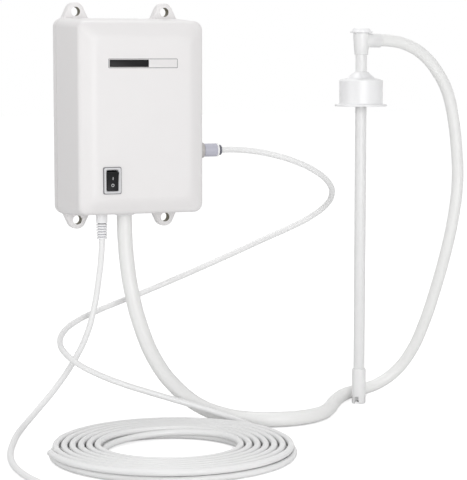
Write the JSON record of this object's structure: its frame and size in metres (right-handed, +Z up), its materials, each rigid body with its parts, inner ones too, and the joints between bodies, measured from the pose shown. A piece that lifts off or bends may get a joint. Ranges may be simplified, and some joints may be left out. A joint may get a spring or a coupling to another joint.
{
  "type": "bottled water pump",
  "caption": "Wall box holding an electric diaphragm pump, with a rocker switch, push-fit outlet and coiled tube, and a suction hose to a bottle cap with a dip wand.",
  "frame": {"origin": "middle of the four wall holes, on the case's back face", "axes": "+Z up, +Y into the wall, +X to the right as the front panel is seen"},
  "size_m": [0.7131, 0.638, 0.5569],
  "materials": {
    "case_white": "satin moulded plastic",
    "seal_grey": "matt gasket rubber",
    "screw_steel": "plated steel",
    "badge": "blank printed plate, black and white",
    "switch_grey": "moulded plastic",
    "switch_black": "glossy moulded plastic",
    "contact_brass": "plated brass",
    "fitting_white": "acetal",
    "collet_grey": "acetal",
    "rubber_black": "moulded rubber",
    "relief_white": "flexible vinyl",
    "base_steel": "zinc plated",
    "motor_steel": "painted steel can",
    "magnet_dark": "ferrite",
    "shaft_steel": "ground steel",
    "copper": "copper and laminations",
    "carbon": "carbon",
    "pump_black": "glass-filled plastic",
    "pump_tan": "natural plastic",
    "board_green": "coated board",
    "component_dark": "moulded parts",
    "wire_red": "insulated wire",
    "wire_brown": "insulated wire",
    "hose_white": "flexible vinyl hose",
    "cap_white": "moulded plastic",
    "liner_white": "foam washer",
    "wand_white": "extruded plastic",
    "tube_white": "polyethylene tube",
    "cord_white": "vinyl sheath",
    "tie_white": "strap",
    "plug_white": "moulded vinyl",
    "pin_nickel": "nickel plated"
  },
  "bodies": {
    "pump_unit": {"rear_housing": "case_white", "front_cover": "case_white", "cover_seal": "seal_grey", "cover_screws": "screw_steel", "badge_plate": "badge", "switch_frame": "switch_grey", "switch_body": "switch_black", "switch_terminals": "contact_brass", "outlet_fitting": "fitting_white", "outlet_oring": "rubber_black", "outlet_locknut": "fitting_white", "outlet_inner_tube": "tube_white", "cord_strain_relief": "relief_white", "cord_clip": "relief_white", "hose_grommet": "relief_white", "pump_base": "base_steel", "rubber_feet": "rubber_black", "foot_screws": "screw_steel", "motor_straps": "base_steel", "strap_screws": "screw_steel", "motor_can": "motor_steel", "motor_magnets": "magnet_dark", "motor_end_cap": "pump_black", "motor_bearings": "shaft_steel", "brush_holder": "component_dark", "brushes": "carbon", "motor_plate": "base_steel", "crank_housing": "pump_black", "wobble_plate": "pump_tan", "diaphragm": "rubber_black", "valve_plate": "pump_tan", "pump_head": "pump_black", "pump_head_screws": "screw_steel", "pressure_switch": "component_dark", "control_board": "board_green", "board_components": "component_dark", "board_screws": "screw_steel", "mains_leads": "wire_brown", "motor_leads": "wire_red", "suction_hose": "hose_white", "elbow": "cap_white", "elbow_plug": "cap_white", "wand_tube": "wand_white", "wand_foot": "wand_white", "outlet_tube": "tube_white", "outlet_coil": "tube_white", "power_cord": "cord_white", "power_coil": "cord_white", "coil_tie": "tie_white", "power_plug": "plug_white", "plug_pins": "pin_nickel"},
    "rocker": {"switch_rocker": "switch_black"},
    "collet": {"outlet_collet": "collet_grey"},
    "rotor": {"motor_shaft": "shaft_steel", "armature": "copper", "commutator": "copper", "eccentric": "shaft_steel"},
    "cap": {"bottle_cap": "cap_white", "cap_liner": "liner_white"},
    "valve": {"foot_valve": "rubber_black"}
  },
  "joints": [
    {"name": "rocker_tilt", "type": "hinge", "parent": "pump_unit", "child": "rocker", "pos_m": [-0.044, -0.108, -0.082], "axis": [1, 0, 0], "range_deg": [-14, 0]},
    {"name": "collet_push", "type": "slide", "parent": "pump_unit", "child": "collet", "axis": [1, 0, 0], "range_m": [-0.0015, 0]},
    {"name": "rotor_spin", "type": "hinge", "parent": "pump_unit", "child": "rotor", "pos_m": [0.014, -0.062, 0], "axis": [0, 0, 1], "continuous": true},
    {"name": "cap_slide", "type": "slide", "parent": "pump_unit", "child": "cap", "axis": [0, 0, 1], "range_m": [-0.15, 0.022]},
    {"name": "valve_lift", "type": "slide", "parent": "pump_unit", "child": "valve", "axis": [0, 0, 1], "range_m": [0, 0.006]}
  ]
}
